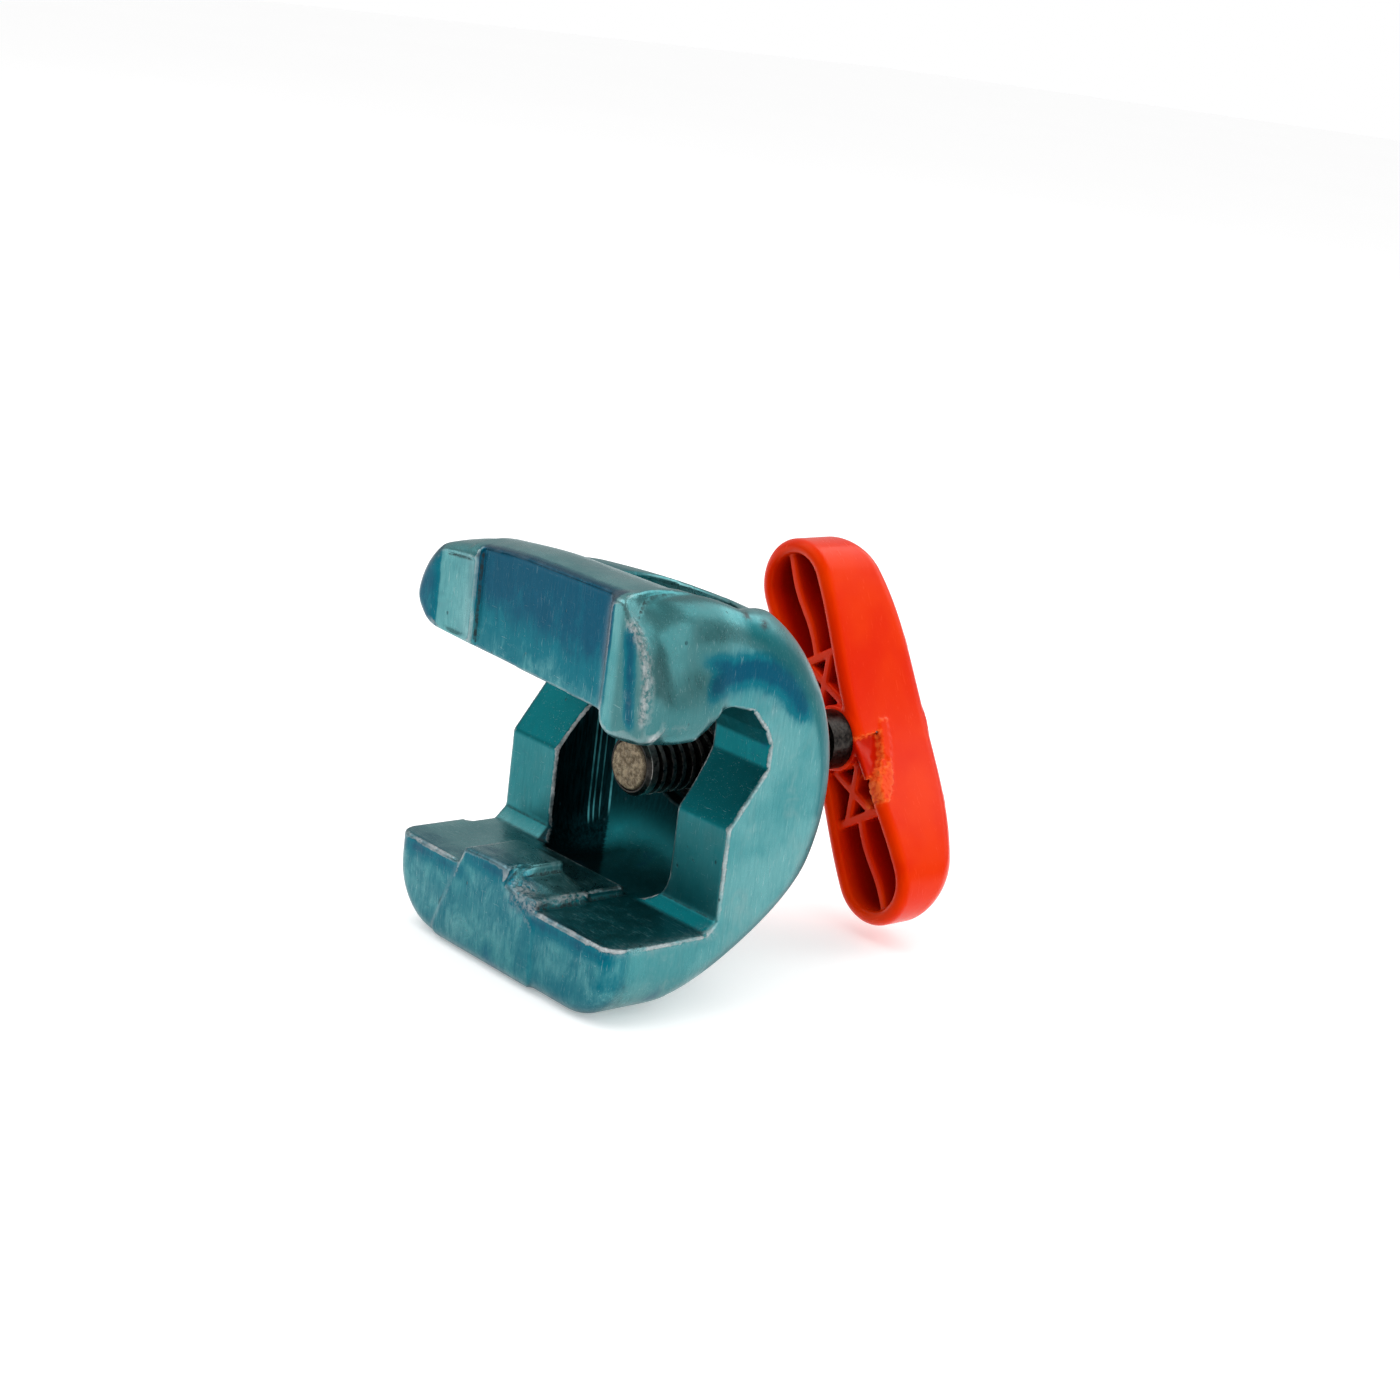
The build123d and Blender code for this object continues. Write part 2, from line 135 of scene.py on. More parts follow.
TANG_RADIUS, TANG_FLAT, TANG_DEPTH = 3.1, 2.6, 9.4
PIN_RADIUS, PIN_REACH = 1.0, 5.7
TORN_FROM = 2.0

# Foot: the button's radius, the place of its face and back, and its stem.
BUTTON_RADIUS, BUTTON_FACE, BUTTON_BACK = 4.0, 0.12, 1.9
STEM_RADIUS, STEM_START, STEM_END = 1.95, 0.5, 8.9


# ------------------------------------------------------------------ rounded joins of distance fields
def union_round(a, b, r):
    """Both shapes, with a fillet of radius r where they meet."""
    return np.maximum(r, np.minimum(a, b)) - np.hypot(np.maximum(r - a, 0), np.maximum(r - b, 0))


def common_round(a, b, r):
    """What both shapes share, with its edge rounded by r."""
    return np.minimum(-r, np.maximum(a, b)) + np.hypot(np.maximum(r + a, 0), np.maximum(r + b, 0))


def cut_round(a, b, r):
    """a without b, with the cut's edge rounded by r."""
    return common_round(a, -b, r)


def polygon(u, v, corners):
    """Signed distance to a polygon in the u, v plane, negative inside."""
    nearest = np.full(np.broadcast(u, v).shape, np.inf)
    inside = np.ones(nearest.shape)
    for (u0, v0), (u1, v1) in zip(corners, corners[1:] + corners[:1]):
        du, dv = u1 - u0, v1 - v0
        along = np.clip(((u - u0) * du + (v - v0) * dv) / (du * du + dv * dv), 0, 1)
        nearest = np.minimum(nearest, (u - u0 - along * du) ** 2 + (v - v0 - along * dv) ** 2)
        rising = (v >= v0) & (v < v1) & (du * (v - v0) > dv * (u - u0))
        falling = (v < v0) & (v >= v1) & (du * (v - v0) < dv * (u - u0))
        inside = np.where(rising | falling, -inside, inside)
    return inside * np.sqrt(nearest)


def smooth_step(value, low, high):
    """0 below low, 1 above high, and smooth between them."""
    t = np.clip((value - low) / (high - low), 0, 1)
    return t * t * (3 - 2 * t)


def spot(*places):
    """1 in the middle of a soft spot and near 0 outside it; each place is value, middle, reach."""
    return np.exp(-sum(((value - middle) / reach) ** 2 for value, middle, reach in places))


# ------------------------------------------------------------------ meshes from distance fields
def surface_net(field, low, high, step):
    """Closed quad mesh of a distance field's zero surface, its points drawn onto the surface."""
    axes = [np.arange(low[a] - 2 * step, high[a] + 3 * step, step) for a in range(3)]
    grid = np.meshgrid(*axes, indexing="ij", sparse=True)
    values = field(*grid).astype(np.float32)
    inside = values < 0
    shape = [n - 1 for n in values.shape]
    corner = {
        o: tuple(slice(o[a], o[a] + shape[a]) for a in range(3)) for o in product((0, 1), repeat=3)
    }
    count = sum(inside[place].astype(np.int8) for place in corner.values())
    active = (count > 0) & (count < 8)
    number = np.full(active.shape, -1)
    number[active] = np.arange(active.sum())
    cells = np.argwhere(active)
    total = np.zeros((len(cells), 3))
    crossings = np.zeros(len(cells))
    for start in corner:
        for axis in range(3):
            if start[axis]:
                continue
            end = tuple(1 if a == axis else start[a] for a in range(3))
            a_value = values[corner[start]][active]
            b_value = values[corner[end]][active]
            crosses = (a_value < 0) != (b_value < 0)
            share = np.where(crosses, a_value / np.where(crosses, a_value - b_value, 1), 0)
            point = np.array(start, float) + share[:, None] * (np.array(end) - np.array(start))
            total += point * crosses[:, None]
            crossings += crosses
    points = (cells + total / crossings[:, None]) * step + [axis[0] for axis in axes]
    quads = []
    for axis in range(3):
        other = [a for a in range(3) if a != axis]
        low_side = [slice(1, shape[a]) for a in range(3)]
        low_side[axis] = slice(0, shape[axis])
        high_side = list(low_side)
        high_side[axis] = slice(1, shape[axis] + 1)
        first, second = inside[tuple(low_side)], inside[tuple(high_side)]
        edges = np.argwhere(first != second)
        edges[:, other] += 1
        leaves = first[first != second]
        ring = []
        for du, dv in ((-1, -1), (0, -1), (0, 0), (-1, 0)):
            cell = edges.copy()
            cell[:, other[0]] += du
            cell[:, other[1]] += dv
            ring.append(number[cell[:, 0], cell[:, 1], cell[:, 2]])
        ring = np.stack(ring, axis=1)
        flip = leaves if axis == 1 else ~leaves
        ring[flip] = ring[flip][:, ::-1]
        quads.append(ring)
    quads = np.concatenate(quads)
    for _ in range(3):
        points = drawn_on(field, relaxed(points, quads), step)
    return points, quads


def relaxed(points, quads):
    """Each point moved half way to the middle of its neighbours."""
    total = np.zeros_like(points)
    count = np.zeros(len(points))
    for side in range(4):
        here, there = quads[:, side], quads[:, (side + 1) % 4]
        for a, b in ((here, there), (there, here)):
            for axis in range(3):
                total[:, axis] += np.bincount(a, points[b, axis], len(points))
            count += np.bincount(a, minlength=len(points))
    return (points + total / count[:, None]) / 2


def gradient(field, points, step):
    """Slope of the field at each point, measured over twice the step."""
    slope = np.empty_like(points)
    for axis in range(3):
        shift = np.zeros(3)
        shift[axis] = step
        ahead, behind = (points + shift).T, (points - shift).T
        slope[:, axis] = (field(*ahead) - field(*behind)) / (2 * step)
    return slope


def drawn_on(field, points, step):
    """Points moved onto the surface along the field's slope."""
    for _ in range(2):
        slope = gradient(field, points, step / 4)
        size = np.maximum((slope**2).sum(1), 0.2)
        move = (field(*points.T) / size)[:, None] * slope
        points = points - np.clip(move, -step, step)
    return points


def bend(field, points, reach):
    """How sharply the surface bends at each point: above 0 on outer edges, below 0 in corners."""
    total = -6 * field(*points.T)
    for axis in range(3):
        shift = np.zeros(3)
        shift[axis] = reach
        total = total + field(*(points + shift).T) + field(*(points - shift).T)
    return total / reach


def mesh_piece(name, points, quads, body, replaced, attributes):
    """A smooth mesh from points in millimetres, riding on a body in place of a CAD node."""
    mesh = bpy.data.meshes.new(name)
    mesh.vertices.add(len(points))
    mesh.vertices.foreach_set("co", (points * MM).astype(np.float32).ravel())
    mesh.loops.add(quads.size)
    mesh.loops.foreach_set("vertex_index", quads.astype(np.int32).ravel())
    mesh.polygons.add(len(quads))
    mesh.polygons.foreach_set("loop_start", np.arange(0, quads.size, 4, dtype=np.int32))
    mesh.polygons.foreach_set("loop_total", np.full(len(quads), 4, dtype=np.int32))
    mesh.update(calc_edges=True)
    mesh.validate()
    mesh.shade_smooth()
    for label, values in attributes.items():
        layer = mesh.attributes.new(label, "FLOAT", "POINT")
        layer.data.foreach_set("value", values.astype(np.float32))
    piece = bpy.data.objects.new(name, mesh)
    bpy.context.scene.collection.objects.link(piece)
    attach(piece, body)
    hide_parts(replaced)
    return piece


# ------------------------------------------------------------------ casting
def mouth_field(x, y, z):
    """The C's opening: ledge, lower facet, upper facet, arch and the level under the tooth."""
    toe_y = FACET_Y - FACET_FOOT
    outside_y = LIP_Y - 20
    floor_line = [(outside_y, LEDGE_Z), (toe_y, LEDGE_Z)]
    facets = [(FACET_Y, LEDGE_Z + FACET_FOOT), (FACET_Y, CREASE_Z)]
    arch = [(4.4, 7.0), (4.4, 10.5), (3.2, 13.0), (0.0, 16.4), (-4.0, CEILING_Z)]
    front = [(TOOTH_BACK_Y + 2.0, CEILING_Z), (TOOTH_BACK_Y, TOOTH_Z), (outside_y, TOOTH_Z)]
    mouth = polygon(y, z, floor_line + facets + arch + front)
    sunk = np.maximum(np.maximum(LEDGE_X - x, y - FACET_Y), np.maximum(FLOOR_Z - z, z - CREASE_Z))
    toe = ((y - toe_y) - (z - FLOOR_Z)) * sin(pi / 4)
    return np.minimum(mouth, np.maximum(sunk, toe))


def beam_field(x, y, z):
    """The free beam across the top, with its rounded end, recess and upright groove."""
    sag = BEAM_SAG * smooth_step(-x, 2.0, 26.0)
    under = BEAM_UNDER_Z + BEAM_UNDER_SLOPE * (19.0 - x)
    under = under + BEAM_UNDER_RISE * smooth_step(y, LIP_Y, TOOTH_BACK_Y)
    crown = BEAM_CROWN_Z - sag - BEAM_CROWN_FALL * (y - BEAM_CROWN_Y) ** 2
    upright = common_round(LIP_Y - y, y - BEAM_BACK_Y, 1.0)
    level = common_round(under - z, z - crown, 1.0)
    bar = common_round(upright, level, 1.7)
    end_x, end_z = x - BEAM_LEFT - BEAM_END_RADIUS, z - (BEAM_END_TOP - BEAM_END_RADIUS)
    rounded = (end_x < 0) & (end_z > 0)
    end = np.where(rounded, np.hypot(end_x, end_z) - BEAM_END_RADIUS, BEAM_LEFT - x)
    bar = common_round(bar, end, 2.2)
    bar = common_round(bar, (-28.2 - x) * 0.7 + (18.6 - z) * 0.7, 2.0)
    groove = np.hypot(x - GROOVE_X, y - (LIP_Y + GROOVE_DEPTH - GROOVE_RADIUS)) - GROOVE_RADIUS
    groove = common_round(groove, z - (GROOVE_TOP_Z - sag), 0.6)
    groove = common_round(groove, GROOVE_FOOT_Z - z, 0.6)
    bar = cut_round(bar, groove, 0.35)
    recess = np.maximum(np.maximum(RECESS_LEFT - x, x - TOOTH_X), y - (LIP_Y + RECESS_DEPTH))
    recess = np.maximum(recess, z - (RECESS_TOP_Z - sag))
    bar = cut_round(bar, recess, 0.3)
    return np.maximum(bar, x - TOOTH_X - BEAM_INTO_TOOTH)


def brow_field(x, y, z):
    """The outer face of the tooth's ridge, which curls over the top and leans back."""
    curl = np.hypot((x - BROW_X) / BROW_HALF, (z - BROW_Z) / BROW_HEIGHT) * BROW_HALF - BROW_HALF
    curl = np.where(z > BROW_Z, curl, x - BROW_X - BROW_HALF)
    return curl + RIDGE_LEAN * (y - RIDGE_Y)


def tooth_field(x, y, z):
    """The tooth at the closed end: a deep foot, and a crisp ridge that runs up and in from it."""
    side = x - TOOTH_SIDE_X + 0.15 * np.maximum(y + 20.0, 0)
    foot = common_round(side, TOOTH_X - x, 1.2)
    foot = common_round(foot, TOOTH_FRONT_Y - y, 1.5)
    foot = common_round(foot, z - TOOTH_FOOT_TOP, 6.0)
    under = TOOTH_Z + 0.25 + 0.05 * np.maximum(x - 24.0, 0) ** 2 - z
    foot = common_round(foot, under, 1.6)
    foot = np.maximum(foot, y - (TOOTH_BACK_Y + 3.0))
    ridge = common_round(brow_field(x, y, z), TOOTH_X - x, 0.8)
    bow = 0.05 * (x - 24.5) ** 2 * (x > 20.5) - 0.45
    ridge = common_round(ridge, RIDGE_Y - y - bow, 0.35)
    ridge = common_round(ridge, y - RIDGE_BACK_Y, 0.6)
    ridge = common_round(ridge, TOOTH_Z + 0.5 - z, 1.2)
    return union_round(foot, ridge, 3.0)


def block_field(x, y, z):
    """The stepped block in the middle of the lower lip, with its bruised front corner."""
    top = common_round(BLOCK_LEFT - 0.45 * (BLOCK_TOP - z) - x, x - BLOCK_STEP, 0.4)
    top = common_round(top, z - BLOCK_TOP + 0.06 * np.maximum(-4.0 - x, 0), 0.6)
    step = common_round(BLOCK_LEFT - x, x - BLOCK_RIGHT, 0.8)
    step = common_round(step, z - STEP_Z + STEP_SLOPE * np.maximum(x - BLOCK_STEP, 0), 0.4)
    block = union_round(top, step, 0.3)
    bruise = (x - 4.0) * 0.42 + (z + 16.4) * 0.72 - (y + 20.6) * 0.55
    block = cut_round(block, np.maximum(-bruise, 1.0 - x), 0.8)
    block = common_round(block, y - BLOCK_BACK, 0.5)
    block = common_round(block, -22.55 - y, 0.7)
    return common_round(block, SOLE_Z - z, 3.0)


def channel_field(x, y, z):
    """The upright half-round channel, its foot curved forward onto the floor."""
    back_y = CHANNEL_Y + CHANNEL_RADIUS
    wall = common_round(np.hypot(x, y - CHANNEL_Y) - CHANNEL_RADIUS, BEAM_BACK_Y - y, 0.3)
    foot_y, foot_z = y - (back_y - SCOOP_RADIUS), z - (FLOOR_Z + SCOOP_RADIUS)
    foot = np.hypot(foot_y, foot_z) - SCOOP_RADIUS
    foot = np.where((foot_y > 0) & (foot_z < 0), foot, np.maximum(FLOOR_Z - z, y - back_y))
    behind = np.minimum(LEDGE_Z - z, SCOOP_Y - y)
    return np.maximum(common_round(wall, foot, 6.0), behind)


def casting_field(x, y, z):
    """The whole casting."""
    swell = BARREL_CROWN * (x / HALF_WIDTH) ** 2
    body = np.hypot(y - BARREL_Y, z - BARREL_Z) - (BARREL_RADIUS - swell)
    body = common_round(body, np.abs(x) - HALF_WIDTH, 6.0)
    heel = (y - HEEL_Y) * sin(HEEL_TILT) - (z - HEEL_Z) * cos(HEEL_TILT)
    heel = heel - HEEL_CROWN * (1 - (x / HALF_WIDTH) ** 2)
    body = common_round(body, heel, 5.0)
    front = LIP_Y + 1.8 * smooth_step(z, 0.0, 8.0)
    body = common_round(body, front - y, 6.5)
    body = common_round(body, SOLE_Z - z, 4.0)
    room = np.maximum(np.maximum(x - TOOTH_X + 1.5, y - BEAM_BACK_Y), ROOM_FOOT_Z - z)
    body = cut_round(body, room, 1.5)
    rise = SHOULDER_RISE * np.maximum(x - SHOULDER_X, 0)
    rise = rise + SHOULDER_LEAN * np.maximum(SHOULDER_Y - y, 0)
    body = cut_round(body, WALL_TOP_Z + rise - z, 1.0)
    jaw = common_round(np.abs(x - JAW_MIDDLE_X) - JAW_HALF, JAW_SOLE_Z - z, JAW_CORNER)
    jaw = common_round(jaw, JAW_FRONT_Y - y, 3.2)
    jaw = np.maximum(np.maximum(jaw, y - JAW_BACK_Y), z - JAW_TOP_Z)
    body = union_round(body, jaw, 0.7)
    body = cut_round(body, mouth_field(x, y, z), 0.6)
    body = common_round(body, z - BODY_TOP_Z, 2.0)
    body = union_round(body, beam_field(x, y, z), 1.2)
    body = union_round(body, tooth_field(x, y, z), 4.0)
    body = union_round(body, block_field(x, y, z), 0.6)
    body = cut_round(body, channel_field(x, y, z), 0.4)
    gap = np.maximum(x - GAP_RIGHT_X, np.maximum(BEAM_BACK_Y - y, y - GAP_BACK_Y))
    body = cut_round(body, np.maximum(gap, CEILING_Z - z), 0.6)
    outside = np.maximum(body_low.y + BOX_MARGIN - y, body_low.z + 0.75 * BOX_MARGIN - z)
    outside = np.maximum(outside, x - body_high.x + BOX_MARGIN)
    body = common_round(body, outside, 0.3)
    bore = np.hypot(x, z)
    body = np.maximum(body, BUSH_RADIUS - bore)
    return np.maximum(body, y - FLANGE_Y)


def casting_dye(points):
    """How thick the dye lies: 0 pale, half way deep teal, 1 blue."""
    x, y, z = points.T
    front = smooth_step(-y, 19.0, 20.9)
    beam = front * smooth_step(z, 14.0, 16.0)
    recess = beam * smooth_step(x, -15.2, -14.4) * smooth_step(-x, -19.6, -19.0)
    dye = recess * (0.34 + 0.75 * smooth_step(z + 0.06 * x, 17.0, 29.0))
    groove = smooth_step(-np.abs(x + 19.7), -4.6, -4.0)
    left = beam * smooth_step(-x, 15.0, 15.6) * (1 - 0.8 * groove)
    dye = dye + left * (0.6 + 0.3 * smooth_step(-x, 24.0, 28.0))
    dye = dye + 0.3 * smooth_step(-y, 16.0, 20.0) * smooth_step(-z, -12.0, 2.0)
    streak = spot((x + 0.16 * (z - 20.0), 24.6, 1.3)) * smooth_step(z, 14.0, 17.0)
    dye = dye + 0.9 * streak * smooth_step(-z, -31.0, -28.0) * smooth_step(-y, 21.5, 22.2)
    right = smooth_step(x, 22.0, 25.5)
    arc = np.hypot((y + 2.0) / 14.0, (z - 8.5) / 14.5)
    shoulder = spot((arc, 1.0, 0.15)) * smooth_step(y, -12.0, -8.0) * smooth_step(z, 12.0, 17.0)
    pool = spot((y, -6.5, 4.2), (z + 0.3 * (y + 6.5), 23.6, 1.7))
    dye = dye + right * np.maximum(shoulder, pool)
    dye = dye + 0.12 * right * smooth_step(z, 8.0, 20.0) * smooth_step(y, -12.0, -2.0)
    block = (x > BLOCK_LEFT) & (x < BLOCK_STEP)
    lip_top = np.where(block, BLOCK_TOP, np.where(x > LEDGE_X, FLOOR_Z, LEDGE_Z))
    pooled = smooth_step(-y, 21.0, 21.8) * spot((lip_top - z, 1.5, 1.1))
    return np.clip(dye + 0.45 * pooled, 0, 1)


def casting_shade(points):
    """Painted shade inside the mouth, where little light reaches: how far the tint is darkened."""
    x, y, z = points.T
    barrel = BARREL_RADIUS - BARREL_CROWN * (x / HALF_WIDTH) ** 2
    under_skin = barrel - np.hypot(y - BARREL_Y, z - BARREL_Z)
    mouth = smooth_step(y, -5.0, -1.0) * smooth_step(-np.abs(x), -27.2, -26.2)
    mouth = mouth * smooth_step(under_skin, 1.0, 2.5)
    upper = mouth * smooth_step(z, -2.4, -1.0) * smooth_step(-z, -18.5, -16.5)
    floor_part = smooth_step(-z, 16.2, 16.9) * smooth_step(z, -18.6, -18.3)
    floor_part = floor_part * smooth_step(y, -21.9, -20.5)
    inner_floor = floor_part * smooth_step(-np.abs(x), -26.8, -25.5) * smooth_step(-y, 1.5, 3.0)
    inner_floor = inner_floor * (1 - 0.6 * smooth_step(LEDGE_X - x, -0.3, 0.3))
    return np.clip(0.7 * upper + 0.6 * inner_floor + 0.55 * mouth, 0, 1)


def casting_floor(points):
    """The level floors of the lower jaw, where work has slid."""
    y, z = points.T[1:]
    level = smooth_step(z, -18.7, -18.4) * smooth_step(-z, 13.0, 13.4)
    return level * smooth_step(y, -21.9, -20.5) * smooth_step(-y, 3.8, 4.8)


def casting_tooth_shade(points):
    """Painted shade on the tooth and the bowl behind it, drawn as a darker grey tint."""
    x, y, z = points.T
    return smooth_step(x, 20.5, 22.0) * smooth_step(z, 12.5, 15.0) * smooth_step(-y, 4.0, 9.0)


def casting_residue(points):
    """Dark marks left on the shoulder behind the tooth."""
    x, y, z = points.T
    marks = 0
    for mark_y, mark_z, size in RESIDUE:
        marks = marks + spot((y, mark_y, size), (z, mark_z, 0.6 * size))
    return np.clip(marks, 0, 1) * smooth_step(x, 18.5, 20.5)


def casting_channel_shade(points):
    """Painted shade in the channel: fully dark on its left, fading down to the foot elsewhere."""
    x, y, z = points.T
    inside = smooth_step(-np.hypot(x, y - CHANNEL_Y), -15.9, -14.9) * smooth_step(y, -4.6, -4.2)
    inside = inside * smooth_step(-z, -28.0, -20.0)
    left = smooth_step(-0.666 * (x + 12.2) - 0.746 * (y - 7.8), -0.1, 0.1)
    fade = 0.22 + 0.62 * smooth_step(z, -16.5, -8.0) + 0.12 * smooth_step(z, -8.0, 4.0)
    return inside * np.maximum(left, fade)


def casting_lines(points):
    """The channel's left side, where painted highlight lines run up it."""
    x, y = points.T[:2]
    from_wall = np.abs(np.hypot(x, y - CHANNEL_Y) - CHANNEL_RADIUS)
    return smooth_step(-from_wall, -1.0, -0.3) * smooth_step(-x, 6.0, 8.0)


def casting_rub(points):
    """Where rails have rubbed: round the mouth, on the ledge and on the block."""
    x, y, z = points.T
    rim = np.exp(-np.maximum(np.abs(mouth_field(x, y, z)) - 0.8, 0) / 1.2)
    lips = smooth_step(-y, 20.5, 21.8) * smooth_step(z, 8.0, 12.0)
    groove_rim = spot((np.abs(x + 19.9), 4.2, 0.8))
    recess_rim = spot((x, TOOTH_X + 0.3, 0.9))
    rims = (groove_rim + recess_rim) * smooth_step(-y, 20.0, 21.0) * smooth_step(z, 16.0, 18.0)
    return np.clip(rim * (1 - 0.8 * lips) + 0.1 + 0.8 * rims, 0, 1)


def casting_bared(points):
    """Where rubbing and blows have bared the metal: the floor's open end and the block's corner."""
    x, y, z = points.T
    end = spot((x, 26.4, 1.5), (z, FLOOR_Z, 0.9)) * smooth_step(-y, 1.0, 3.0)
    corner = spot((x, 4.4, 2.6), (y, -21.0, 1.6), (z, -17.2, 2.0))
    step = spot((x, BLOCK_RIGHT, 0.8), (z, -16.6, 0.9)) * smooth_step(-y, 12.5, 14.0)
    edge = spot((x, 8.5, 2.2), (y, LIP_Y, 0.9), (z, -17.8, 0.9))
    knock = spot((x, -9.7, 0.9), (y, -17.8, 1.6), (z, BLOCK_TOP, 0.9))
    ridge = spot((brow_field(x, y, z), -0.5, 0.7)) * smooth_step(-y, 20.4, 21.6)
    ridge = ridge * smooth_step(x, 21.5, 23.5) * smooth_step(z, 15.5, 18.0)
    return np.clip(0.3 * end + corner + step + edge + knock + 0.9 * ridge, 0, 1)


def casting():
    """Mesh of the casting, with the values that its finish follows."""
    points, quads = surface_net(casting_field, body_low, body_high, CASTING_GRID)
    x, y, z = points.T
    soft = smooth_step(x, 21.5, 23.5) * smooth_step(z, 17.0, 19.0) * smooth_step(y, -20.5, -18.5)
    sharp = bend(casting_field, points, 0.6) * (1 - soft)
    for _ in range(SHOULDER_PASSES):
        points = points + soft[:, None] * (relaxed(points, quads) - points)
    attributes = {
        "bend": sharp,
        "dye": casting_dye(points),
        "shade": casting_shade(points),
        # Painted shade in the channel.
        "channel_shade": casting_channel_shade(points),
        "lines": casting_lines(points),
        "rub": casting_rub(points),
        "bared": casting_bared(points),
        "floor": casting_floor(points),
        # Painted shade on the tooth and the bowl.
        "tooth_shade": casting_tooth_shade(points),
        "residue": casting_residue(points),
    }
    return mesh_piece(
        "casting", points, quads, "casting", "clamp_body", attributes
    )


# ------------------------------------------------------------------ handle
def to_handle(x, y, z):
    """Row frame to the handle's own axes: along it, across it and in from its rim."""
    along = x * ALONG[0] + z * ALONG[2]
    across = x * ACROSS[0] + z * ACROSS[2]
    return along, across, y - RIM_Y


def outline(along, across):
    """Signed distance to the dog-bone outline."""
    u = np.abs(along - HANDLE_OFFSET)
    straight = HANDLE_HALF - END_RADIUS
    half = END_RADIUS - (END_RADIUS - WAIST) * (0.5 + 0.5 * np.cos(pi * np.minimum(u / straight, 1)))
    side = np.abs(across) - half
    return np.where(u > straight, np.hypot(u - straight, across) - END_RADIUS, side)


def tear_fields(along, depth):
    """The damage to one long wall, seen square on: scraped plate, broken rim, lifted flap, lip."""
    ragged_along = along + 0.14 * np.sin(5.2 * depth) + 0.07 * np.sin(11.0 * along)
    ragged_depth = depth + 0.12 * np.sin(4.1 * along + 1.0) + 0.06 * np.sin(13.0 * along)
    plate = [(-1.2, -3.0), (-1.5, 1.0), (-0.8, 5.2), (-5.3, 4.0), (-7.2, 2.4), (-8.3, 1.7), (-9.3, -3.0)]
    broken = [(-9.0, -3.0), (-8.3, 1.6), (-9.9, 0.7), (-12.6, 0.3), (-14.2, -3.0)]
    flap = [(-6.0, 5.4), (-9.4, 4.3), (-12.8, 2.0), (-13.0, 0.4), (-9.9, 0.9), (-7.5, 3.1)]
    lip = [(1.0, 5.6), (1.1, 7.3), (-2.5, 6.7), (-6.0, 5.5), (-5.3, 4.1), (-0.8, 5.3)]
    return [polygon(ragged_along, ragged_depth, shape) for shape in (plate, broken, flap, lip)]


def handle_field(x, y, z):
    """The hollow moulding with its ribs, hub, pin hole and torn rim."""
    along, across, depth = to_handle(x, y, z)
    flat = outline(along, across)
    back = np.hypot(along - CROWN_X, depth - (HANDLE_DEPTH - CROWN_RADIUS)) - CROWN_RADIUS
    back = np.where(depth > 0, back, depth - HANDLE_DEPTH)
    shell = common_round(flat, back, 3.0)
    shell = common_round(shell, -depth, 1.5)
    hollow = common_round(flat + WALL, back + WEB, 1.0)
    shell = cut_round(shell, hollow, 0.9)
    u = np.abs(along)
    wave = 0.35 * np.sin(0.42 * along)
    spine = np.maximum(np.abs(across - wave) - RIB_HALF, np.maximum(CROSS_RIB - u, u - SPINE_END))
    cross = np.abs(u - CROSS_RIB) - RIB_HALF
    lean_sin, lean_cos = sin(BRACE_LEAN), cos(BRACE_LEAN)
    brace_u, brace_v = u - BRACE_MIDDLE, np.abs(across)
    brace = np.abs(-brace_u * lean_sin + brace_v * lean_cos) - RIB_HALF
    brace = np.maximum(brace, np.abs(brace_u * lean_cos + brace_v * lean_sin) - BRACE_HALF)
    other = np.abs(brace_u * lean_sin + brace_v * lean_cos) - RIB_HALF
    brace = np.minimum(brace, np.maximum(other, np.abs(brace_u) - OTHER_BRACE_HALF))
    ribs = np.maximum(np.minimum(np.minimum(spine, cross), brace), flat + 1.0)
    ribs = common_round(ribs, RIB_DROP - depth, 0.3)
    ribs = np.maximum(ribs, back + 1.0)
    shell = union_round(shell, ribs, 0.4)
    hub = np.maximum(np.hypot(along, across) - HUB_RADIUS, flat + 0.2)
    hub = common_round(hub, HUB_DROP - depth, 0.3)
    shell = union_round(shell, np.maximum(hub, back + 1.0), 0.5)
    bore = np.maximum(np.hypot(along, across) - TANG_RADIUS, np.abs(along) - TANG_FLAT)
    shell = np.maximum(shell, -np.maximum(bore, depth - TANG_DEPTH))
    pin = np.hypot(along, depth - (pin_middle_y - RIM_Y)) - PIN_RADIUS
    shell = cut_round(shell, np.maximum(pin, across - PIN_REACH), 0.25)
    plate, broken, flap, lip = tear_fields(along, depth)
    near_wall = TORN_FROM - across
    skin = np.maximum(-2.0 - flat, near_wall)
    shell = union_round(shell, np.maximum(np.maximum(flap, skin), flat - 0.3), 0.15)
    shell = union_round(shell, np.maximum(np.maximum(lip, skin), flat - 0.12), 0.3)
    hollowed = 0.12 * np.sin(0.9 * along) * np.sin(1.3 * depth) - 1.2
    shell = cut_round(shell, np.maximum(np.maximum(plate, near_wall), hollowed - flat), 0.1)
    return cut_round(shell, np.maximum(broken, near_wall), 0.2)


